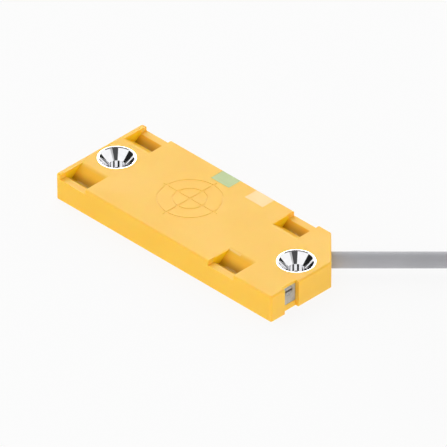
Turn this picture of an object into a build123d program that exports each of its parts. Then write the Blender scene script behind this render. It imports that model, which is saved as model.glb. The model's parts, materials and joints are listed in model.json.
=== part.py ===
from build123d import *
import math
import os

# Flat capacitive proximity sensor with two fixing bushes and a three-core cable.
# Millimetres. X is the length, Y the width, Z up. The origin is the centre of the housing's
# underside. The cable leaves the chamfered corner at +X +Y, and the trimmer is in the +X end.

# Housing
length = 54.0
width = 21.7
height = 5.5
draft_lean = 0.03      # how far each side leans in from top to bottom
wall = 0.8
roof = 0.6
corner_radius = 0.5
top_round = 0.38
base_edge = 0.15       # chamfer round the underside
corner_cut = 6.6       # leg of the 45 degree chamfer that the cable leaves

# Fixing bushes
left_bush_inset = 4.25 # bush axis from the left end of the housing
right_bush_inset = 4.75
bush_y = 0.2
bush_diameter = 7.1
bush_bore = 3.2
cone_diameter = 6.85   # countersink at the top face, 90 degrees
groove_depth = 0.25    # ring groove that keys the bush in the moulding
groove_height = 1.2
groove_middle = 1.9
boss_wall = 0.45
moulded_gap = 0.02     # between a moulded-in piece and the housing

# Edge pockets, two at each end
pocket_length = 6.4
left_pocket_inset = 1.05
right_pocket_inset = 9.45
pocket_reach = 5.65    # from the long side in to where the ramp meets the top
valley_inset = 2.93    # from the long side in to the lowest line, between the two ramps
pocket_depth = 2.1
rim_width = 1.45
rim_drop = 1.0         # rim below the top face
ramp_round = 1.0
valley_round = 0.4
rim_round = 0.3
pocket_wall = 0.7

# Target mark over the sensing face
mark_x = -4.5
mark_y = 0.35
inner_ring = 3.1
cross_overhang = 0.85  # cross-hair past the outer ring
mark_line = 0.32
mark_depth = 0.12

# Status windows along the far long side
window_length = 4.4
window_depth = 3.2     # from the long side inwards
lamp_gap = 0.2         # between a window's lower end and its lamp
green_x = -4.25
amber_x = 4.2
lip_width = 0.35
lip_height = 0.5

# Trimmer behind the notch in the +X end
notch_y = -5.65
notch_width = 3.5
notch_depth = 0.82
notch_wall = 0.58
trimmer_gap = 0.05
trimmer_setback = 0.08 # trimmer face behind the notch's floor
trimmer_length = 2.25
trimmer_edge = 0.15
screw_diameter = 2.0
screw_drop = 1.6       # screw axis below the top face
screw_head = 0.5
screw_shaft = 1.0
screw_shaft_length = 1.2
screw_slot = 0.42
screw_slot_depth = 0.3
screw_clearance = 0.06

# Base cover and circuit board
cover_thickness = 0.5
cover_gap = 0.05
board_lift = 0.1       # board above the cover
board_thickness = 0.6
board_gap = 0.25
part_gap = 0.3         # between tall board parts and what is over them

# Electrodes under the roof
plate_thickness = 0.2
guard_width = 0.45
guard_gap = 0.35       # between the electrode and the guard ring
sense_pin = 0.9
guard_pin = 0.6

# Board parts, each as length, width and height
oscillator_size = (3.9, 4.9, 1.5)
regulator_size = (3.5, 6.4, 1.6)
transistor_size = (2.6, 4.6, 1.5)
supply_capacitor_size = (3.5, 2.8, 1.9)
diode_size = (3.8, 2.6, 2.1)
resistor_size = (1.6, 0.8, 0.45)
capacitor_size = (1.6, 0.9, 0.85)
lamp_size = (2.0, 1.6, 0.8)
lens_radius = 0.5
lens_height = 0.8
lens_edge = 0.25
stand_off = 0.1        # package bottom above the board
package_edge = 0.15
metal = 0.2            # thickness of legs, tabs and straps
supply_row = 5.2       # row of supply parts from the left end of the room
row_pitch = 5.2        # those parts from the centre line
diode_row = 2.2        # diodes from the start of the neck
diode_gap = 0.45       # diodes from the neck's walls
oscillator_row = 5.05  # oscillator from the start of the neck
edge_row = 2.2         # small parts along the near edge of the board, from its edge
oscillator_gap = 2.6   # oscillator from that row
grid = 1.2             # the small parts stand on this grid

# Cable where it enters the housing
cable_diameter = 3.0
cable_inside = 2.7     # sheath inside the housing, from the chamfer's face
core_diameter = 0.7
core_circle = 0.45     # radius that the core axes lie on
clamp_wall = 0.5
clamp_play = 0.1       # room round the clamp
clamp_length = 1.0
solder_inset = 2.3     # soldered ends from the end of the neck
solder_length = 1.1
solder_width = 0.9
solder_height = 0.9
pad_pitch = 1.3
pad_inset = 1.35       # last pad from the neck's wall
bend_from_boss = 1.0   # core bundle clear of the bush boss
bend_angle = 130.0     # place of that bend round the bush
bend_spread = 2.3      # cores stand further apart in height there
core_landing = 0.8     # straight end of each core on its pad

# Cable outside: its route from the sheath's inner end to the coil, then the coil
cable_points = [
    (21.791, 5.641, 2.75),
    (44.56, 28.41, 2.75),
    (59.50, 34.90, 1.60),
    (73.07, 39.65, 2.00),
]
coil_x = 81.0
coil_y = 17.0
coil_hole = 10.5
coil_columns = 5
coil_layers = 3
top_columns = 3        # turns in the unfinished top layer
tie_thickness = 0.5
tie_width = 2.5
tie_head = (3.6, 2.4, 4.2)
tie_tail = 3.0
tie_angles = (45.0, 260.0)
lead_start = 230.0     # angle round the coil where the sheath ends
lead_gap = 0.1
lead_rest = 1.2        # first lead from the foot of the top layer
lead_fan = 1.4
lead_down = 26.0       # angles round the coil, from the sheath's end
lead_end = 50.0
lead_stagger = 3.0
lead_spread = 1.0      # each lead's end further out than where it comes down
tip_diameter = 0.5
tip_length = 5.0

# Places worked out from the sizes above
right = length / 2
far = width / 2
left_bush_x = left_bush_inset - right
right_bush_x = right - right_bush_inset
bush_radius = bush_diameter / 2
boss_radius = bush_radius + boss_wall
ceiling = height - roof
cable_z = height / 2
board_bottom = cover_thickness + board_lift
board_top = board_bottom + board_thickness
room_left = left_bush_x + boss_radius
room_right = right - wall
room_far = far - wall
neck_far = far - pocket_reach - pocket_wall
left_pocket_x = left_pocket_inset - right
right_pocket_x = right - right_pocket_inset - pocket_length
neck_start = right_pocket_x - pocket_wall
neck_end = right_pocket_x + pocket_length + pocket_wall
notch_floor = right - notch_depth
trimmer_face = notch_floor - trimmer_setback
screw_z = height - screw_drop
corner_sum = right + far - corner_cut
exit_x = right - corner_cut / 2
exit_y = far - corner_cut / 2
plate_bottom = ceiling - plate_thickness
window_near = far - window_depth
window_bottom = board_top + lamp_size[2] + lens_height + lamp_gap
guard_outer = window_near - lip_width - part_gap - mark_y
guard_inner = guard_outer - guard_width
plate_radius = guard_inner - guard_gap

parts = {}


def span(x0, x1, y0, y1, z0, z1):
    """Block between two corners."""
    centre = Pos((x0 + x1) / 2, (y0 + y1) / 2, (z0 + z1) / 2)
    return centre * Box(x1 - x0, y1 - y0, z1 - z0)


def drawn_along_x(line, x0, x1):
    """Closed (y, z) outline drawn out along X."""
    face = make_face(Plane.YZ * line)
    return Pos(x0, 0, 0) * extrude(face, x1 - x0, dir=(1, 0, 0))


def drawn_along_y(line, y0, y1):
    """Closed (x, z) outline drawn out along Y."""
    face = make_face(Plane.XZ * line)
    return Pos(0, y0, 0) * extrude(face, y1 - y0, dir=(0, 1, 0))


def mirrored(shape):
    return mirror(shape, about=Plane.XZ)


def bend_radii(points):
    """Radius of the arc at each corner of a route, as large as its two runs allow."""
    corners = [Vector(*p) for p in points]
    runs = [b - a for a, b in zip(corners, corners[1:])]
    radii = []
    for before, after in zip(runs, runs[1:]):
        half_turn = math.radians(before.get_angle(after)) / 2
        radii.append(0.45 * min(before.length, after.length) / math.tan(half_turn))
    return radii


def tube(points, diameter):
    """Round tube along straight runs joined by tangent arcs."""
    corners = [Vector(*p) for p in points]
    path = FilletPolyline(*corners, radius=bend_radii(points))
    section = Plane(origin=corners[0], z_dir=corners[1] - corners[0]) * Circle(diameter / 2)
    return sweep(section, path=path)


# Housing
def housing_block():
    """Solid outer form: drafted sides and rounded edges, with the cable's corner cut off."""
    points = [(-right, -far), (right, -far), (right, corner_sum - right), (corner_sum - far, far), (-right, far)]
    solid = extrude(make_face(Polyline(*points, close=True)), height)
    sides = solid.faces().filter_by(Axis.Z, reverse=True)
    solid = draft(sides, Plane(origin=(0, 0, height)), -math.degrees(math.atan(draft_lean / height)))
    uprights = [e for e in solid.edges() if abs(e.tangent_at(0.5).Z) > 0.9]
    solid = fillet(uprights, corner_radius)
    solid = fillet(solid.faces().sort_by(Axis.Z)[-1].edges(), top_round)
    return chamfer(solid.faces().sort_by(Axis.Z)[0].edges(), base_edge)


def room_plan(gap):
    """Plan of the space inside, or of a plate that lies in it with a gap all round."""
    x0 = room_left + gap
    x1 = room_right - gap
    plan = Pos((x0 + x1) / 2, 0) * Rectangle(x1 - x0, 2 * (room_far - gap))
    block_x = (neck_start + neck_end) / 2
    block_y = (neck_far + far) / 2
    block_length = neck_end - neck_start + 2 * gap
    for side in (-1, 1):
        plan -= Pos(block_x, side * block_y) * Rectangle(block_length, far - neck_far + 2 * gap)
    plan -= Pos(right_bush_x, bush_y) * Circle(boss_radius + gap)
    behind = notch_floor - notch_wall - gap
    below = notch_y - notch_width / 2 - notch_wall - gap
    plan -= Pos((behind + right) / 2, below / 2) * Rectangle(right - behind, -below)
    inner_sum = corner_sum - (wall + gap) * math.sqrt(2)
    corner = [(right, inner_sum - right), (right, far), (inner_sum - far, far)]
    return plan - make_face(Polyline(*corner, close=True))


def pocket_cutter(x0):
    """Pocket at the near long side: low rim, a short ramp down, and a longer one up to the top."""
    rim_y = rim_width - far
    valley_y = valley_inset - far
    top_y = pocket_reach - far
    rim_z = height - rim_drop
    above = height + 1
    outside = -far - 1
    points = [
        (outside, rim_z), (rim_y, rim_z), (valley_y, height - pocket_depth),
        (top_y, height), (top_y + ramp_round, height), (top_y + ramp_round, above), (outside, above),
    ]
    radii = [rim_round, valley_round, ramp_round, 0, 0]
    line = FilletPolyline(*points, radius=radii) + Line(points[-1], points[0])
    return drawn_along_x(line, x0, x0 + pocket_length)


def target_mark():
    """Ring and cross-hair grooves over the sensing electrode."""
    cross = 2 * (plate_radius + cross_overhang)
    lines = Rectangle(cross, mark_line) + Rectangle(mark_line, cross)
    for radius in (inner_ring, plate_radius):
        lines += Circle(radius + mark_line / 2) - Circle(radius - mark_line / 2)
    return extrude(Pos(mark_x, mark_y, height) * lines, -mark_depth)


def bush_form(gap):
    """Outside of a bush with its ring groove, grown by a gap all round."""
    r = bush_radius + gap
    low = groove_middle - groove_height / 2 + gap
    high = groove_middle + groove_height / 2 - gap
    points = [
        (0, 0), (r, 0), (r, low), (r - groove_depth, low),
        (r - groove_depth, high), (r, high), (r, height), (0, height),
    ]
    face = make_face(Plane.XZ * Polyline(*points, close=True))
    return revolve(face, Axis.Z)


def bush():
    """Bush with a through bore and a 90 degree countersink."""
    bore_r = bush_bore / 2
    cone_r = cone_diameter / 2
    cone_foot = height - (cone_r - bore_r)
    points = [(0, 0), (bore_r, 0), (bore_r, cone_foot), (cone_r, height), (0, height)]
    hole = revolve(make_face(Plane.XZ * Polyline(*points, close=True)), Axis.Z)
    return bush_form(0) - hole


def window_block(x, gap):
    """Block that a light guide fills at the far long side."""
    half = window_length / 2 + gap
    return span(x - half, x + half, window_near - gap, far + 1, window_bottom - gap, height + 1)


def window(x, block):
    """Light guide, flush with the top and the side, held from below by a lip."""
    guide = block & window_block(x, 0)
    half = window_length / 2 + lip_width
    lip = span(x - half, x + half, window_near - lip_width, room_far - part_gap,
               window_bottom, window_bottom + lip_height)
    return guide + lip


def screw_hole(radius, depth):
    """Round hole from the trimmer's face inwards, on the screw's axis."""
    axis = Plane(origin=(trimmer_face, notch_y, screw_z), z_dir=(-1, 0, 0))
    return extrude(axis * Circle(radius), depth)


def cable_bore(radius, start, end):
    """Cylinder on the cable's axis, between two distances in from the chamfer's face."""
    step = 1 / math.sqrt(2)
    origin = (exit_x - start * step, exit_y - start * step, cable_z)
    return extrude(Plane(origin=origin, z_dir=(-1, -1, 0)) * Circle(radius), end - start)


clamp_start = wall + part_gap / 2
clamp_radius = cable_diameter / 2 + moulded_gap + clamp_wall
clamp_room = cable_bore(clamp_radius + clamp_play, wall, clamp_start + clamp_length + clamp_play)
block = housing_block()
housing = block - extrude(room_plan(0), ceiling)
for pocket_x in (left_pocket_x, right_pocket_x):
    near_pocket = pocket_cutter(pocket_x)
    housing -= near_pocket
    housing -= mirrored(near_pocket)
for x in (left_bush_x, right_bush_x):
    housing -= Pos(x, bush_y, 0) * bush_form(moulded_gap)
for x in (green_x, amber_x):
    housing -= window_block(x, moulded_gap)
half_notch = notch_width / 2
housing -= span(notch_floor, right + 1, notch_y - half_notch, notch_y + half_notch, -1, height + 1)
housing -= span(notch_floor - notch_wall - 1, right + 1, notch_y - half_notch, notch_y + half_notch,
                board_top, ceiling)
housing -= cable_bore(cable_diameter / 2 + moulded_gap, -1, cable_inside)
housing -= clamp_room
housing -= target_mark()
parts["housing"] = housing

parts["bush_left"] = Pos(left_bush_x, bush_y, 0) * bush()
parts["bush_right"] = Pos(right_bush_x, bush_y, 0) * bush()
parts["window_green"] = window(green_x, block)
parts["window_amber"] = window(amber_x, block)
parts["base_cover"] = extrude(room_plan(cover_gap), cover_thickness) - clamp_room

# Trimmer
trimmer = span(trimmer_face - trimmer_length, trimmer_face,
               notch_y - half_notch + trimmer_gap, notch_y + half_notch - trimmer_gap,
               board_top, ceiling - trimmer_gap)
trimmer = chamfer(trimmer.edges().filter_by(Axis.X), trimmer_edge)
trimmer -= screw_hole(screw_diameter / 2 + screw_clearance, screw_head + screw_clearance)
trimmer -= screw_hole(screw_shaft / 2 + screw_clearance,
                      screw_head + screw_shaft_length + screw_clearance)
parts["trimmer_body"] = trimmer

screw = screw_hole(screw_diameter / 2, screw_head)
screw += screw_hole(screw_shaft / 2, screw_head + screw_shaft_length)
screw -= span(trimmer_face - screw_slot_depth, trimmer_face + 1,
              notch_y - screw_diameter, notch_y + screw_diameter,
              screw_z - screw_slot / 2, screw_z + screw_slot / 2)
parts["trimmer_screw"] = screw

# Circuit board
cable_room = Pos((neck_end + right) / 2, far / 2) * Rectangle(right - neck_end, far)
board_plan = room_plan(board_gap) - cable_room
parts["circuit_board"] = Pos(0, 0, board_bottom) * extrude(board_plan, board_thickness)

# Electrodes
disc = extrude(Circle(plate_radius), plate_thickness)
ring = extrude(Circle(guard_outer) - Circle(guard_inner), plate_thickness)
parts["electrode_plate"] = Pos(mark_x, mark_y, plate_bottom) * disc
parts["guard_ring"] = Pos(mark_x, mark_y, plate_bottom) * ring


def contact_pin(x, y, diameter):
    """Pin from the board up to an electrode, with a collar at its foot."""
    pin = extrude(Circle(diameter / 2), plate_bottom - board_top)
    collar = extrude(Circle(diameter), diameter / 2)
    return Pos(x, y, board_top) * (pin + collar)


guard_middle = (guard_inner + guard_outer) / 2
parts["electrode_pin"] = contact_pin(mark_x, mark_y, sense_pin)
parts["guard_pin"] = contact_pin(mark_x + guard_middle, mark_y, guard_pin)


# Board parts
def bent_leg(reach, rise, leg_width):
    """Leg that leaves a package at mid height, drops to the board and turns out as a foot."""
    bend = reach * 0.4
    points = [
        (0, rise + metal), (bend + metal, rise + metal), (bend + metal, metal), (reach, metal),
        (reach, 0), (bend, 0), (bend, rise), (0, rise),
    ]
    return drawn_along_y(Polyline(*points, close=True), -leg_width / 2, leg_width / 2)


def package(size, left_legs, right_legs, reach, leg_width, pitch):
    """Moulded package with bent legs along two sides."""
    body_x, body_y, body_z = size
    body = Pos(0, 0, stand_off) * extrude(Rectangle(body_x, body_y), body_z - stand_off)
    body = chamfer(body.faces().sort_by(Axis.Z)[-1].edges(), package_edge)
    rise = body_z * 0.45
    for count, turn in ((right_legs, 0), (left_legs, 180)):
        for i in range(count):
            place = Pos(body_x / 2, (i - (count - 1) / 2) * pitch, 0)
            body += Rot(0, 0, turn) * (place * bent_leg(reach, rise, leg_width))
    return body


def chip(size, cap=0.3):
    """Small two-ended part: a body between two slightly larger end caps."""
    body_x, body_y, body_z = size
    body = extrude(Rectangle(body_x - cap, body_y - 0.06), body_z - 0.03)
    ends = Rectangle(body_x, body_y) - Rectangle(body_x - 2 * cap, body_y)
    return body + extrude(ends, body_z)


def diode():
    """Diode with sloping upper ends and two flat tabs folded down and under it."""
    body_x, body_y, body_z = diode_size
    half = body_x / 2
    shoulder = body_z * 0.6
    slope = 0.25
    points = [(-half, metal), (-half, shoulder), (slope - half, body_z), (half - slope, body_z),
              (half, shoulder), (half, metal)]
    body = drawn_along_y(Polyline(*points, close=True), -body_y / 2, body_y / 2)
    for side in (-1, 1):
        outer = side * (half + metal)
        inner = side * half
        foot = side * half / 2
        tab_top = shoulder - metal
        fold = [(outer, 0), (outer, tab_top), (inner, tab_top), (inner, metal), (foot, metal), (foot, 0)]
        body += drawn_along_y(Polyline(*fold, close=True), -body_y * 0.3, body_y * 0.3)
    return body


def tantalum():
    """Moulded capacitor with a bevel along its positive end and end straps."""
    body_x, body_y, body_z = supply_capacitor_size
    bevel = 0.35
    body = Pos(0, 0, stand_off) * extrude(Rectangle(body_x, body_y), body_z - stand_off)
    upper = body.edges().filter_by(Axis.Y).sort_by(Axis.Z)[-2:].sort_by(Axis.X)[0]
    body = chamfer(upper, bevel)
    straps = Rectangle(body_x + metal, body_y * 0.7) - Rectangle(body_x * 0.65, body_y)
    return body + extrude(straps, body_z * 0.4)


def lamp():
    """Surface-mount diode lamp: a square cup with a round lens."""
    lamp_x, lamp_y, lamp_z = lamp_size
    base = extrude(Rectangle(lamp_x, lamp_y), lamp_z)
    base = chamfer(base.edges().filter_by(Axis.Z).sort_by(Axis.X)[0], 0.3)
    lens = extrude(Circle(lens_radius), lamp_z + lens_height)
    lens = chamfer(lens.faces().sort_by(Axis.Z)[-1].edges(), lens_edge)
    return base + lens


supply_x = room_left + supply_row
diode_x = neck_start + diode_row
diode_y = neck_far - diode_gap - diode_size[1] / 2
lamp_y = (window_near + room_far) / 2
near_row = edge_row - (room_far - board_gap)
oscillator_x = neck_start - oscillator_row
oscillator_y = near_row + oscillator_gap
on_board = Pos(0, 0, board_top)
parts["oscillator_chip"] = on_board * Pos(oscillator_x, oscillator_y, 0) * Rot(0, 0, 90) * package(
    oscillator_size, 4, 4, reach=1.0, leg_width=0.42, pitch=1.27)
parts["regulator"] = on_board * Pos(supply_x, row_pitch, 0) * package(
    regulator_size, 1, 3, reach=1.4, leg_width=0.7, pitch=2.3)
parts["output_transistor"] = on_board * Pos(supply_x, -row_pitch, 0) * package(
    transistor_size, 1, 3, reach=1.0, leg_width=0.5, pitch=1.5)
parts["supply_capacitor"] = on_board * Pos(supply_x - 1, 0, 0) * tantalum()
parts["polarity_diode"] = on_board * Pos(diode_x, diode_y, 0) * diode()
parts["surge_diode"] = on_board * Pos(diode_x, -diode_y, 0) * diode()
parts["led_green"] = on_board * Pos(green_x, lamp_y, 0) * lamp()
parts["led_amber"] = on_board * Pos(amber_x, lamp_y, 0) * lamp()

resistor_places = [
    (oscillator_x - 5.5 * grid, near_row), (oscillator_x - 7.5 * grid, near_row),
    (supply_x + 4 * grid, -2.5 * grid), (0, 4 * grid), (0, 5.5 * grid), (oscillator_x + 2 * grid, 1.5 * grid),
]
capacitor_places = [
    (oscillator_x, 1.5 * grid), (oscillator_x, 3.5 * grid), (oscillator_x + 2 * grid, 3.5 * grid),
    (supply_x + 4 * grid, 5.5 * grid), (-grid, -2.5 * grid),
]
resistor = chip(resistor_size)
capacitor = chip(capacitor_size)
parts["chip_resistors"] = Compound(
    children=[on_board * Pos(x, y, 0) * resistor for x, y in resistor_places])
parts["chip_capacitors"] = Compound(
    children=[on_board * Pos(x, y, 0) * capacitor for x, y in capacitor_places])

# Cable entry: clamp, cores and their soldered ends
clamp = cable_bore(clamp_radius, clamp_start, clamp_start + clamp_length)
parts["cable_clamp"] = clamp - cable_bore(clamp_radius - clamp_wall, 0, cable_inside)

solder_face = neck_end - solder_inset
core_z = board_top + core_diameter / 2
inner_x = exit_x - cable_inside / math.sqrt(2)
inner_y = exit_y - cable_inside / math.sqrt(2)
bend_radius = boss_radius + bend_from_boss
bend_x = right_bush_x + bend_radius * math.cos(math.radians(bend_angle))
bend_y = bush_y + bend_radius * math.sin(math.radians(bend_angle))
first_pad_y = neck_far - pad_inset - 2 * pad_pitch
joints = []
for row, (colour, angle) in enumerate((("black", 330), ("brown", 90), ("blue", 210))):
    aside = core_circle * math.cos(math.radians(angle)) / math.sqrt(2)
    level = cable_z + core_circle * math.sin(math.radians(angle))
    pad_y = first_pad_y + row * pad_pitch
    parts["core_" + colour] = tube([
        (inner_x + aside, inner_y - aside, level),
        (bend_x + aside, bend_y - aside, cable_z + bend_spread * (level - cable_z)),
        (solder_face + core_landing, pad_y, core_z),
        (solder_face, pad_y, core_z),
    ], core_diameter)
    slope = [(solder_face, 0), (solder_face, solder_height), (solder_face - 0.3, solder_height),
             (solder_face - solder_length, 0.15), (solder_face - solder_length, 0)]
    joint = drawn_along_y(Polyline(*slope, close=True), -solder_width / 2, solder_width / 2)
    joints.append(on_board * Pos(0, pad_y, 0) * joint)
parts["solder_joints"] = Compound(children=joints)

# Cable outside the housing
parts["cable_run"] = tube(cable_points, cable_diameter)
print("cable run radii", [round(r, 1) for r in bend_radii(cable_points)])

coil_width = coil_columns * cable_diameter
coil_edge = coil_hole + coil_width
coil_step = coil_hole + top_columns * cable_diameter
coil_base = tie_thickness
coil_shoulder = coil_base + coil_layers * cable_diameter
coil_top = coil_shoulder + cable_diameter
coil_outline = [
    (coil_hole, coil_base), (coil_edge, coil_base), (coil_edge, coil_shoulder),
    (coil_step, coil_shoulder), (coil_step, coil_top), (coil_hole, coil_top),
]
coil_face = make_face(Plane.XZ * Polyline(*coil_outline, close=True))
coil = revolve(coil_face, Axis.Z)
parts["cable_coil"] = Pos(coil_x, coil_y, 0) * coil

# Straps round the coil, pulled straight from corner to corner, each with its lock and cut tail
strap_hole = math.sqrt(coil_hole ** 2 - (tie_width / 2) ** 2) - moulded_gap
strap_line = [
    (strap_hole, coil_base), (coil_edge, coil_base), (coil_edge, coil_shoulder),
    (coil_step, coil_top), (strap_hole, coil_top),
]
strap_hollow = make_face(Polyline(*strap_line, close=True))
strap_face = Plane.XZ * (offset(strap_hollow, tie_thickness) - strap_hollow)
strap = Pos(0, tie_width / 2, 0) * extrude(strap_face, tie_width, dir=(0, -1, 0))
lock_depth, lock_width, lock_height = tie_head
lock_x = strap_hole - tie_thickness
lock_z = (coil_base + coil_top) / 2
lock = span(lock_x - lock_depth, lock_x, -lock_width / 2 - tie_thickness, lock_width / 2 + tie_thickness,
            lock_z - lock_height / 2, lock_z + lock_height / 2)
lock = chamfer(lock.edges().filter_by(Axis.Z).sort_by(Axis.X)[:2], tie_thickness)
tail = span(lock_x - lock_depth / 2 - tie_thickness, lock_x - lock_depth / 2, -tie_width / 2, tie_width / 2,
            lock_z, lock_z + lock_height / 2 + tie_tail)
strap += lock + tail
parts["coil_ties"] = Compound(
    children=[Pos(coil_x, coil_y, 0) * Rot(0, 0, angle) * strap for angle in tie_angles])


# Flying leads on the coil's shoulder
def round_the_coil(radius, angle, z):
    turn = math.radians(angle)
    return (coil_x + radius * math.cos(turn), coil_y + radius * math.sin(turn), z)


last_turn = coil_hole + (top_columns - 0.5) * cable_diameter
lead_z = coil_shoulder + core_diameter / 2
tips = []
for i, colour in enumerate(("brown", "blue", "black")):
    aside = (i - 1) * (core_diameter + lead_gap)
    rest = coil_step + lead_rest + i * lead_fan
    route = [
        round_the_coil(last_turn + aside, lead_start, coil_top - cable_diameter / 2),
        round_the_coil(rest, lead_start - lead_down, lead_z),
        round_the_coil(rest + lead_spread, lead_start - lead_end + lead_stagger * i, lead_z),
    ]
    parts["lead_" + colour] = tube(route, core_diameter)
    heading = Vector(*route[-1]) - Vector(*route[-2])
    tips.append(extrude(Plane(origin=route[-1], z_dir=heading) * Circle(tip_diameter / 2), tip_length))
parts["lead_tips"] = Compound(children=tips)

os.makedirs("parts", exist_ok=True)
for name, shape in parts.items():
    export_step(shape, f"parts/{name}.step")
print(len(parts), "parts")
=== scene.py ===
"""Looks of the flat proximity sensor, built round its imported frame. Metres, +Z up."""
import math

import bpy
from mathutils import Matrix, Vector
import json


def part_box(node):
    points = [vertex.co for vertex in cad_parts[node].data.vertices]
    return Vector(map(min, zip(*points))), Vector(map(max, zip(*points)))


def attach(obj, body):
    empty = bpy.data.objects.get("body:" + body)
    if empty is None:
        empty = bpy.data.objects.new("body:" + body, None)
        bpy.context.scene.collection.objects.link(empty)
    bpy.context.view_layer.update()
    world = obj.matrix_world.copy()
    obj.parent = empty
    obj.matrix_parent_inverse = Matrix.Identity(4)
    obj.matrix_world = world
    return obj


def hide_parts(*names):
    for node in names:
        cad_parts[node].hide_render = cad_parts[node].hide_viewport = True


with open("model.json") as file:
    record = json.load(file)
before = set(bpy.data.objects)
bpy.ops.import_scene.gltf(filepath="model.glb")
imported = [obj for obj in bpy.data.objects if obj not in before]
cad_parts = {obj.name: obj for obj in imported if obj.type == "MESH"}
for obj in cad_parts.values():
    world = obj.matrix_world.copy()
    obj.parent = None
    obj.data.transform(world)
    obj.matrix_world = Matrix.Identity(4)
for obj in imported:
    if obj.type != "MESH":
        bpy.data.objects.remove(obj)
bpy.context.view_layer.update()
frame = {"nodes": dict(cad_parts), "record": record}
nodes = frame["nodes"]

MM = 0.001
UM = 0.000001
SENSOR = "sensor"                       # body that carries all the scene's own pieces
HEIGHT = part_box("housing")[1].z         # of the housing

# Camera: a very long lens, so that the view is as good as parallel
LENS_MM = 1500.0
FILM_MM = 36.0
VIEW_WIDTH = 79.34 * MM
VIEW_CENTRE = Vector((-0.42, 4.71, 0.0)) * MM
VIEW_DIRECTION = Vector((1, -1, 1)).normalized()        # from the object to the camera
CLIP_SHARES = (0.5, 2.0)                                # nearest and furthest, of its distance

# Cable: the route of the construction, with one point more to keep its first run straight, then the coil
CABLE_DIAMETER = 3.0 * MM
CABLE_SIDES = 28
CABLE_STEPS = 3                         # pieces of the curve from one point to the next
ROUTE_MM = [
    (21.791, 5.641, 2.75),
    (44.56, 28.41, 2.75),
    (59.50, 34.90, 1.60),
    (73.07, 39.65, 2.00),
]
STRAIGHT_POINT_MM = (38.2, 22.05, 2.75)
COIL_COLUMNS = 5
COIL_LAYERS = 3
TOP_COLUMNS = 3                         # turns in the unfinished top layer
POINTS_PER_TURN = 24
CUT_MADE_GOOD = 0.75                    # share of what the curve cuts off inside its points
CROSSING_DEG = 60.0                     # last stretch of a turn, which steps over to the next
LEAD_START_DEG = 230.0                  # place round the coil where the sheath ends

# Noise that the materials drift with
NOISE_DETAIL = 3.0
NOISE_RANGE = (0.3, 0.7)                # most of it lies between these


def colour(red, green, blue):
    """Linear colour from 8-bit display values."""
    def linear(value):
        share = value / 255
        return share / 12.92 if share <= 0.04045 else ((share + 0.055) / 1.055) ** 2.4
    return (linear(red), linear(green), linear(blue), 1.0)


def make_camera():
    """Camera at the photograph's viewing angle."""
    data = bpy.data.cameras.new("camera")
    camera = bpy.data.objects.new("camera", data)
    bpy.context.scene.collection.objects.link(camera)
    data.lens = LENS_MM
    data.sensor_width = FILM_MM
    distance = VIEW_WIDTH * LENS_MM / FILM_MM
    data.clip_start, data.clip_end = (distance * share for share in CLIP_SHARES)
    camera.location = VIEW_CENTRE + VIEW_DIRECTION * distance
    camera.rotation_mode = "QUATERNION"
    camera.rotation_quaternion = (-VIEW_DIRECTION).to_track_quat("-Z", "Y")
    bpy.context.scene.camera = camera


def coil_route():
    """Points of the coil in millimetres: layers wound back and forth, then the unfinished top layer."""
    low, high = (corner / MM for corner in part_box("cable_coil"))
    x, y = (low.x + high.x) / 2, (low.y + high.y) / 2
    pitch = CABLE_DIAMETER / MM
    hole = (high.x - low.x) / 2 - COIL_COLUMNS * pitch
    last = Vector(ROUTE_MM[-1])
    start = math.degrees(math.atan2(last.y - y, last.x - x))
    step = 360 / POINTS_PER_TURN
    spread = 1 / math.cos(math.radians(step / 2)) ** CUT_MADE_GOOD
    outward = list(range(COIL_COLUMNS))
    columns = []
    for layer in range(COIL_LAYERS):
        columns += outward if layer % 2 else outward[::-1]
    columns += outward[:TOP_COLUMNS]
    layers = [i // COIL_COLUMNS for i in range(len(columns))]
    end = (start - LEAD_START_DEG) % 360 + 360 * (len(columns) - 1)
    points = []
    count = int(end // step)
    for i in range(1, count + 2):
        angle = min(i * step, end)
        turn = min(int(angle // 360), len(columns) - 1)
        ahead = min(turn + 1, len(columns) - 1)
        late = max(0.0, (angle % 360 - (360 - CROSSING_DEG)) / CROSSING_DEG)
        across = min(1.0, 2 * late)
        up = max(0.0, 2 * late - 1)
        column = columns[turn] + (columns[ahead] - columns[turn]) * across
        layer = layers[turn] + (layers[ahead] - layers[turn]) * up
        radius = (hole + pitch * (column + 0.5)) * spread
        place = math.radians(start - angle)
        points.append((x + radius * math.cos(place), y + radius * math.sin(place),
                       low.z + pitch * (layer + 0.5)))
    return points


def curve_piece(name, points_mm, diameter, sides, resolution):
    """Round cord along one smooth curve that millimetre points lead."""
    data = bpy.data.curves.new(name, "CURVE")
    data.dimensions = "3D"
    spline = data.splines.new("NURBS")
    spline.points.add(len(points_mm) - 1)
    for point, place in zip(spline.points, points_mm):
        point.co = (*(Vector(place) * MM), 1)
        point.radius = diameter / 2
    spline.order_u = 3
    spline.use_endpoint_u = True
    data.resolution_u = resolution
    data.bevel_depth = 1.0              # times the radius that each point has
    data.bevel_resolution = sides // 2 - 2
    data.use_fill_caps = True
    piece = bpy.data.objects.new(name, data)
    bpy.context.scene.collection.objects.link(piece)
    return piece


def make_cable(material):
    """The whole cable, for the run and the stand-in coil of the construction."""
    route = [ROUTE_MM[0], STRAIGHT_POINT_MM, *ROUTE_MM[1:], *coil_route()]
    cable = curve_piece("cable", route, CABLE_DIAMETER, CABLE_SIDES, CABLE_STEPS)
    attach(cable, SENSOR)
    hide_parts("cable_run", "cable_coil")
    cable.data.materials.append(material)


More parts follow.
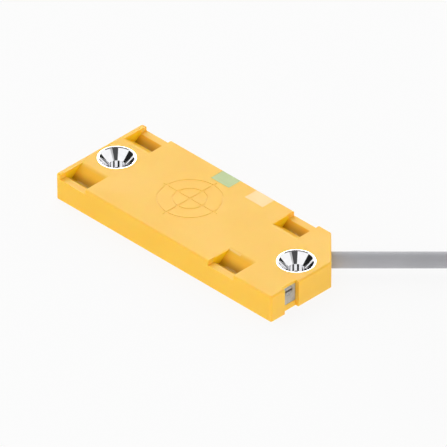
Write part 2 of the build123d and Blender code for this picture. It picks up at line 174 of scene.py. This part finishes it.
class Graph:
    """Short forms for the nodes of one material or world."""

    def __init__(self, tree):
        self.tree = tree

    def node(self, kind, **settings):
        made = self.tree.nodes.new("ShaderNode" + kind)
        for name, value in settings.items():
            setattr(made, name, value)
        return made

    def feed(self, socket, value):
        if isinstance(value, bpy.types.NodeSocket):
            self.tree.links.new(value, socket)
        else:
            socket.default_value = value

    def math(self, operation, *values):
        made = self.node("Math", operation=operation)
        for socket, value in zip(made.inputs, values):
            self.feed(socket, value)
        return made.outputs[0]

    def product(self, first, *others):
        for other in others:
            first = self.math("MULTIPLY", first, other)
        return first

    def rest(self, share):
        """What a share leaves of 1."""
        return self.math("SUBTRACT", 1.0, share)

    def within(self, value, reach):
        """1 where a value is less than a reach away from zero, and 0 elsewhere."""
        return self.math("LESS_THAN", self.math("ABSOLUTE", value), reach)

    def ramp(self, value, low, high, to_low=0.0, to_high=1.0):
        """Value from low to high, turned smoothly into to_low to to_high."""
        made = self.node("MapRange", interpolation_type="SMOOTHSTEP")
        for name, given in (("Value", value), ("From Min", low), ("From Max", high),
                            ("To Min", to_low), ("To Max", to_high)):
            self.feed(made.inputs[name], given)
        return made.outputs[0]

    def mix(self, share, first, second):
        """Colour between two colours."""
        made = self.node("Mix", data_type="RGBA")
        self.feed(made.inputs[0], share)
        self.feed(made.inputs[6], first)
        self.feed(made.inputs[7], second)
        return made.outputs[2]

    def blend(self, share, first, second):
        """Number between two numbers."""
        made = self.node("Mix", data_type="FLOAT")
        self.feed(made.inputs[0], share)
        self.feed(made.inputs[2], first)
        self.feed(made.inputs[3], second)
        return made.outputs[0]

    def bend(self, share, first, second):
        """Direction between two directions."""
        made = self.node("Mix", data_type="VECTOR")
        self.feed(made.inputs[0], share)
        self.feed(made.inputs[4], first)
        self.feed(made.inputs[5], second)
        return made.outputs[1]

    def split(self, vector):
        """The three parts of a vector."""
        made = self.node("SeparateXYZ")
        self.feed(made.inputs[0], vector)
        return made.outputs

    def place(self):
        return self.node("TexCoord").outputs["Object"]

    def noise(self, size):
        """Noise whose patches have that size in metres."""
        made = self.node("TexNoise")
        made.inputs["Scale"].default_value = 1 / size
        made.inputs["Detail"].default_value = NOISE_DETAIL
        self.feed(made.inputs["Vector"], self.place())
        return made.outputs["Fac"]

    def bump(self, height, depth):
        """Normal bent by a height from 0 to 1 that stands for that depth in metres."""
        made = self.node("Bump")
        made.inputs["Distance"].default_value = depth
        self.feed(made.inputs["Height"], height)
        return made.outputs[0]


# Studio: white for the camera, a plain level with two lamps for matt surfaces, and panels to mirror
WHITE = colour(252, 252, 252)[0]
HORIZON = 2.15
ABOVE = 0.48
FADE_DEG = (5.0, 45.0)                  # the plain level falls from HORIZON to ABOVE between these
# each lamp: azimuth, elevation and spread in degrees, and strength
LAMPS = [
    (160.0, 42.0, 60.0, 1.45),
    (-10.0, 10.0, 50.0, 0.5),
]
PLAIN = 1.28                            # level between the panels
SOFTBOX = 5.0
FLAG = 0.02
# each panel: azimuth and elevation of its middle, half width, half height and soft edge in degrees, and
# level. A later panel lies over an earlier one.
PANELS = [
    (135, 42, 36, 18, 9, SOFTBOX),      # for the top face and the flat rims
    (-8, 46, 8, 12, 10, 0.7),           # soft side of the next one
    (-33, 48, 21, 12, 3, 0.1),          # middle stripe of the cones
    (84, 10, 13, 12, 2, FLAG),          # left stripe
    (46, 48, 8, 7, 2, 0.3),             # thin line under it, mirrored twice
    (-150, 21, 18.5, 12.5, 1.5, FLAG),  # right stripe
    (-155, 37, 12, 7, 2, FLAG),         # thin lines under it, mirrored twice
    (-130, 58, 6, 5, 2, 0.2),
    (0, 90, 180, 30, 4, 0.22),          # overhead, for the broken edges
    (-147, -35, 22, 12, 4, 0.08),       # stripes of the bores
    (90, -35, 24, 12, 4, 0.02),
    (-42, -35, 18, 12, 4, 0.05),
]


def towards(azimuth, elevation):
    """Unit vector to a place in the studio, from its angles in degrees."""
    turn, rise = math.radians(azimuth), math.radians(elevation)
    return (math.cos(rise) * math.cos(turn), math.cos(rise) * math.sin(turn), math.sin(rise))


def make_world():
    """The studio's light, by the kind of ray that sees it."""
    world = bpy.data.worlds.new("studio")
    bpy.context.scene.world = world
    world.use_nodes = True
    world.node_tree.nodes.clear()
    g = Graph(world.node_tree)
    direction = g.node("TexCoord").outputs["Generated"]
    x, y, z = g.split(direction)
    azimuth = g.product(g.math("ARCTAN2", y, x), math.degrees(1))
    elevation = g.product(g.math("ARCSINE", z), math.degrees(1))

    mirrored = PLAIN
    for middle, height, half_width, half_height, soft, level in PANELS:
        across = g.math("ABSOLUTE", g.math("SUBTRACT", azimuth, middle))
        up = g.math("ABSOLUTE", g.math("SUBTRACT", elevation, height))
        inside = g.product(g.ramp(across, half_width, half_width + soft, 1.0, 0.0),
                           g.ramp(up, half_height, half_height + soft, 1.0, 0.0))
        mirrored = g.blend(inside, mirrored, level)

    plain = g.ramp(elevation, *FADE_DEG, HORIZON, ABOVE)
    for turn, rise, spread, strength in LAMPS:
        nearness = g.node("VectorMath", operation="DOT_PRODUCT")
        g.feed(nearness.inputs[0], direction)
        g.feed(nearness.inputs[1], towards(turn, rise))
        edge = math.cos(math.radians(spread))
        plain = g.math("ADD", plain, g.ramp(nearness.outputs["Value"], edge, 1.0, 0.0, strength))

    path = g.node("LightPath")
    lit = g.blend(path.outputs["Is Glossy Ray"], plain, mirrored)
    seen = g.math("MAXIMUM", path.outputs["Is Camera Ray"], path.outputs["Is Transmission Ray"])
    background = g.node("Background")
    g.feed(background.inputs["Strength"], g.blend(seen, lit, WHITE))
    output = g.node("OutputWorld")
    g.feed(output.inputs[0], background.outputs[0])


# Floor: pale, with the object's own soft shadow, and clear to reflections so that they see the studio
FLOOR_SIZE = 1.2
FLOOR_DROP = 0.02 * MM                  # gap under the object
PAPER = (0.9, 0.9, 0.9, 1.0)
GLOW = (0.978, 0.978, 0.978, 1.0)       # even white without a shadow, mixed with the paper
FLOOR_SHADOW = 0.1                      # share of the paper, and so of the shadow, for the camera
FLOOR_GLOW = 1.0                        # share of the glow for the light that the floor throws up


def make_floor():
    mesh = bpy.data.meshes.new("floor")
    half = FLOOR_SIZE / 2
    corners = [(-half, -half, 0), (half, -half, 0), (half, half, 0), (-half, half, 0)]
    mesh.from_pydata(corners, [], [(0, 1, 2, 3)])
    floor = bpy.data.objects.new("floor", mesh)
    bpy.context.scene.collection.objects.link(floor)
    floor.location.z = -FLOOR_DROP
    material = bpy.data.materials.new("floor")
    material.use_nodes = True
    material.node_tree.nodes.clear()
    g = Graph(material.node_tree)
    path = g.node("LightPath")
    paper = g.node("BsdfDiffuse")
    paper.inputs["Color"].default_value = PAPER
    glow = g.node("Emission")
    glow.inputs["Color"].default_value = GLOW
    clear = g.node("BsdfTransparent")
    seen = g.node("MixShader")
    g.feed(seen.inputs[0], g.blend(path.outputs["Is Camera Ray"], FLOOR_GLOW, 1 - FLOOR_SHADOW))
    g.feed(seen.inputs[1], paper.outputs[0])
    g.feed(seen.inputs[2], glow.outputs[0])
    whole = g.node("MixShader")
    g.feed(whole.inputs[0], path.outputs["Is Glossy Ray"])
    g.feed(whole.inputs[1], seen.outputs[0])
    g.feed(whole.inputs[2], clear.outputs[0])
    output = g.node("OutputMaterial")
    g.feed(output.inputs[0], whole.outputs[0])
    mesh.materials.append(material)


# Materials
def finish(name, light, dark, patch, rough, grain, depth, **uniform):
    """Material whose colour drifts between two tones in patches, with a fine grain on its surface. Its
    roughness drifts in patches a third as large."""
    material = bpy.data.materials.new(name)
    material.use_nodes = True
    g = Graph(material.node_tree)
    shader = material.node_tree.nodes["Principled BSDF"]
    drift = g.noise(patch)
    g.feed(shader.inputs["Base Color"], g.mix(g.ramp(drift, *NOISE_RANGE), dark, light))
    g.feed(shader.inputs["Roughness"], g.ramp(g.noise(patch / 3), *NOISE_RANGE, *rough))
    g.feed(shader.inputs["Normal"], g.bump(g.noise(grain), depth))
    for socket, value in uniform.items():
        shader.inputs[socket.replace("_", " ")].default_value = value
    return material


HOUSING_LIGHT = colour(250, 196, 74)
HOUSING_DARK = colour(249, 194, 71)
SCATTER = 0.4 * MM                      # how far light spreads inside the plastic
SCATTER_SHARES = (1.0, 0.6, 0.2)        # of that, for red, green and blue

# Edge pockets: painted bounce light, for the light that their yellow walls throw on one another, and
# painted shade deep down
POCKET_REACH = (26.0 * MM, 9.4 * MM)    # they lie within this of the middle, in x and y
POCKET_LIP = (0.15 * MM, 0.5 * MM)      # the painted tone comes in between these depths
POCKET_PAINTED_BOUNCE = colour(252, 192, 48)
POCKET_WALL_PAINTED_BOUNCE = colour(255, 206, 30)      # painted bounce light on walls that face +X
WALL_FACING = (0.6, 0.9)
POCKET_FOOT_PAINTED_SHADE = colour(188, 141, 0)       # painted shade deep down
FOOT_DEPTH = (0.735 * MM, 2.1 * MM)
AWAY_FACING = (0.1, 0.4)                # but not where the far pockets face away, to +Y

# Grooves of the mark: painted light, a lighter tone and a painted glow on their steep walls, standing
# for light that reaches them through the plastic
MARK_REACH = (14.0 * MM, 9.0 * MM)      # they lie within this of the middle
MARK_DEPTH = (0.02 * MM, 0.08 * MM)     # their painted tone comes in between these depths
MARK_BELOW = (0.2 * MM, 0.3 * MM)       # and goes out between these
MARK_PAINTED_LIGHT = colour(251, 198, 86)
MARK_PAINTED_GLOW = colour(250, 188, 90)
MARK_PAINTED_GLOW_STRENGTH = 0.42                     # strength of the painted glow on steep walls
STEEP_FACING = (0.3, 0.7)               # upward part of the normal, from a steep wall to a flat
UPWARD = (0.0, 0.0, 1.0)


def yellow_plastic():
    """Housing material: one plastic, with painted bounce light and painted shade down in the edge
    pockets, and painted light in the grooves of the mark.
    """
    material = finish("moulded_yellow", HOUSING_LIGHT, HOUSING_DARK, 6 * MM, (0.36, 0.42), 0.15 * MM,
                      1.5 * UM, Specular_IOR_Level=0.28)
    g = Graph(material.node_tree)
    shader = material.node_tree.nodes["Principled BSDF"]
    tone = shader.inputs["Base Color"].links[0].from_socket
    normal = shader.inputs["Normal"].links[0].from_socket
    x, y, z = g.split(g.place())
    facing_x, facing_y, facing_z = g.split(g.node("NewGeometry").outputs["Normal"])
    depth = g.math("SUBTRACT", HEIGHT, z)

    # mask of the pockets, where their painted bounce light and painted shade go
    pocket = g.product(g.within(x, POCKET_REACH[0]), g.within(y, POCKET_REACH[1]),
                       g.ramp(depth, *POCKET_LIP))
    wall = g.ramp(facing_x, *WALL_FACING)
    away = g.product(g.math("GREATER_THAN", y, 0.0), g.ramp(facing_y, *AWAY_FACING))
    # painted shade at the pockets' foot, kept off the +X walls and the far ramps
    foot = g.product(g.ramp(depth, *FOOT_DEPTH), g.rest(away), pocket, g.rest(wall))
    # mask of the mark's grooves, where painted light goes
    mark = g.product(g.within(x, MARK_REACH[0]), g.within(y, MARK_REACH[1]),
                     g.ramp(depth, *MARK_DEPTH), g.ramp(depth, *MARK_BELOW, 1.0, 0.0))
    steep = g.ramp(facing_z, *STEEP_FACING, 1.0, 0.0)

    # painted bounce light in the pockets, brighter on their +X walls
    tone = g.mix(pocket, tone, POCKET_PAINTED_BOUNCE)
    tone = g.mix(g.product(pocket, wall), tone, POCKET_WALL_PAINTED_BOUNCE)
    # painted light: a lighter tone in the grooves of the mark
    tone = g.mix(mark, tone, MARK_PAINTED_LIGHT)
    # painted shade deep in the pockets
    g.feed(shader.inputs["Base Color"], g.mix(foot, tone, POCKET_FOOT_PAINTED_SHADE))
    # the grooves shade as if flat, and their steep walls get a painted glow
    g.feed(shader.inputs["Normal"], g.bend(mark, normal, UPWARD))
    g.feed(shader.inputs["Emission Color"], MARK_PAINTED_GLOW)
    g.feed(shader.inputs["Emission Strength"], g.product(mark, steep, MARK_PAINTED_GLOW_STRENGTH))
    shader.inputs["Subsurface Weight"].default_value = 1.0
    shader.inputs["Subsurface Radius"].default_value = SCATTER_SHARES
    shader.inputs["Subsurface Scale"].default_value = SCATTER
    return material


def make_materials():
    """One material for each slot: two tones and the size of their patches, roughness, size and depth of
    the grain."""
    return {
        "housing_plastic": yellow_plastic(),
        "bush_metal": finish("bright_nickel", colour(246, 246, 248), colour(242, 242, 244), 1 * MM,
                             (0.02, 0.04), 0.2 * MM, 0.05 * UM, Metallic=1.0),
        "green_lens": finish("green_light_guide", colour(164, 182, 118), colour(157, 176, 110), 3 * MM,
                             (0.3, 0.34), 1 * MM, 0.5 * UM),
        "amber_lens": finish("amber_light_guide", colour(250, 199, 128), colour(247, 195, 122), 3 * MM,
                             (0.3, 0.34), 1 * MM, 0.5 * UM),
        "trimmer_case": finish("trimmer_grey", colour(182, 179, 171), colour(166, 162, 154), 0.8 * MM,
                               (0.4, 0.5), 0.1 * MM, 1 * UM),
        "screw_metal": finish("turned_steel", colour(176, 173, 168), colour(156, 152, 147), 0.4 * MM,
                              (0.2, 0.35), 0.05 * MM, 1 * UM, Metallic=1.0),
        "board": finish("board_lacquer", colour(34, 98, 62), colour(26, 82, 52), 3 * MM,
                        (0.35, 0.5), 0.2 * MM, 2 * UM),
        "copper": finish("bare_copper", colour(214, 142, 104), colour(190, 116, 82), 2 * MM,
                         (0.2, 0.35), 0.1 * MM, 1 * UM, Metallic=1.0),
        "contact_metal": finish("tinned_contact", colour(214, 206, 176), colour(196, 188, 158), 1 * MM,
                                (0.2, 0.35), 0.1 * MM, 1 * UM, Metallic=1.0),
        "package_black": finish("package_epoxy", colour(38, 38, 40), colour(30, 30, 32), 1 * MM,
                                (0.5, 0.65), 0.08 * MM, 3 * UM),
        "tantalum_ochre": finish("tantalum_epoxy", colour(214, 158, 54), colour(200, 144, 46), 1 * MM,
                                 (0.45, 0.6), 0.1 * MM, 2 * UM),
        "capacitor_tan": finish("ceramic_tan", colour(182, 148, 110), colour(166, 132, 96), 0.6 * MM,
                                (0.4, 0.55), 0.1 * MM, 2 * UM),
        "lamp_green": finish("green_lamp", colour(190, 226, 178), colour(176, 214, 164), 0.8 * MM,
                             (0.15, 0.3), 0.1 * MM, 1 * UM, Transmission_Weight=0.3),
        "lamp_amber": finish("amber_lamp", colour(250, 214, 150), colour(244, 204, 134), 0.8 * MM,
                             (0.15, 0.3), 0.1 * MM, 1 * UM, Transmission_Weight=0.3),
        "core_brown": finish("core_brown", colour(112, 68, 44), colour(100, 60, 38), 2 * MM,
                             (0.35, 0.5), 0.1 * MM, 2 * UM),
        "core_blue": finish("core_blue", colour(46, 96, 176), colour(38, 84, 160), 2 * MM,
                            (0.35, 0.5), 0.1 * MM, 2 * UM),
        "core_black": finish("core_black", colour(40, 40, 42), colour(32, 32, 34), 2 * MM,
                             (0.35, 0.5), 0.1 * MM, 2 * UM),
        "solder": finish("solder", colour(206, 208, 210), colour(184, 186, 190), 0.6 * MM,
                         (0.15, 0.35), 0.2 * MM, 4 * UM, Metallic=1.0),
        "sheath": finish("grey_sheath", colour(171, 171, 175), colour(165, 165, 169), 8 * MM,
                         (0.5, 0.6), 0.12 * MM, 3 * UM, Specular_IOR_Level=0.3),
        "strap": finish("strap_nylon", colour(232, 230, 222), colour(222, 219, 208), 3 * MM,
                        (0.4, 0.5), 0.2 * MM, 3 * UM),
    }


def dress_nodes(materials):
    """Gives each node of the frame the material of its slot."""
    for row in frame["record"]["subparts"]:
        mesh = nodes[row["node"]].data
        mesh.materials.clear()
        mesh.materials.append(materials[row["material_slot"]])
        mesh.polygons.foreach_set("material_index", [0] * len(mesh.polygons))


# Bushes: the turned form of the construction, with a broken edge between its rim and its cone
BUSHES = ("bush_left", "bush_right")
BUSH_BORE_MM = 1.6
BUSH_ROUND_MM = 0.05                    # outer edge
RIM_MM = 3.39                           # radius where the flat of the rim ends
BREAK_MM = 0.27                         # width of the broken edge
BREAK_DEG = 27.0                        # its slope
CONE_DEPTH_MM = 1.8
GROOVE_MM = (1.3, 2.5, 0.25)            # foot, top and depth of the ring groove
BUSH_SIDES = 144
SHARP_DEG = 20.0


def arc_points(centre, radius, start, end, count=6):
    """Points of an arc in a section, between two angles in degrees."""
    steps = [math.radians(start + (end - start) * i / count) for i in range(count + 1)]
    return [(centre[0] + radius * math.cos(a), centre[1] + radius * math.sin(a)) for a in steps]


def bush_section(outer, height):
    """Half section of a bush, from the foot of its bore round the outside and back down the cone."""
    low, high, groove = GROOVE_MM
    neck = outer - groove
    top = arc_points((outer - BUSH_ROUND_MM, height - BUSH_ROUND_MM), BUSH_ROUND_MM, 0, 90)
    slope = math.radians(BREAK_DEG)
    broken = (RIM_MM - BREAK_MM * math.cos(slope), height - BREAK_MM * math.sin(slope))
    return [
        (BUSH_BORE_MM, 0), (outer, 0), (outer, low), (neck, low), (neck, high), (outer, high),
        *top, (RIM_MM, height), broken, (BUSH_BORE_MM, height - CONE_DEPTH_MM),
    ]


def turned(name, section, centre, sides):
    """Closed mesh turned from a closed half section in millimetres."""
    count = len(section)
    points = []
    for i in range(sides):
        turn = 2 * math.pi * i / sides
        for radius, z in section:
            x = centre[0] + radius * math.cos(turn)
            y = centre[1] + radius * math.sin(turn)
            points.append(Vector((x, y, z)) * MM)
    faces = []
    for i in range(sides):
        a = i * count
        b = (i + 1) % sides * count
        for j in range(count):
            k = (j + 1) % count
            faces.append((a + j, b + j, b + k, a + k))
    mesh = bpy.data.meshes.new(name)
    mesh.from_pydata(points, [], faces)
    mesh.polygons.foreach_set("use_smooth", [True] * len(faces))
    mesh.set_sharp_from_angle(angle=math.radians(SHARP_DEG))
    piece = bpy.data.objects.new(name, mesh)
    bpy.context.scene.collection.objects.link(piece)
    return piece


def make_bushes(material):
    for name in BUSHES:
        low, high = (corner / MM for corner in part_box(name))
        section = bush_section((high.x - low.x) / 2, high.z)
        piece = turned(name + "_turned", section, (low + high) / 2, BUSH_SIDES)
        piece.data.materials.append(material)
        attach(piece, SENSOR)
        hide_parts(name)


bpy.context.scene.view_settings.view_transform = "Standard"
make_world()
make_floor()
materials = make_materials()
dress_nodes(materials)
make_bushes(materials["bush_metal"])
make_camera()
make_cable(materials["sheath"])
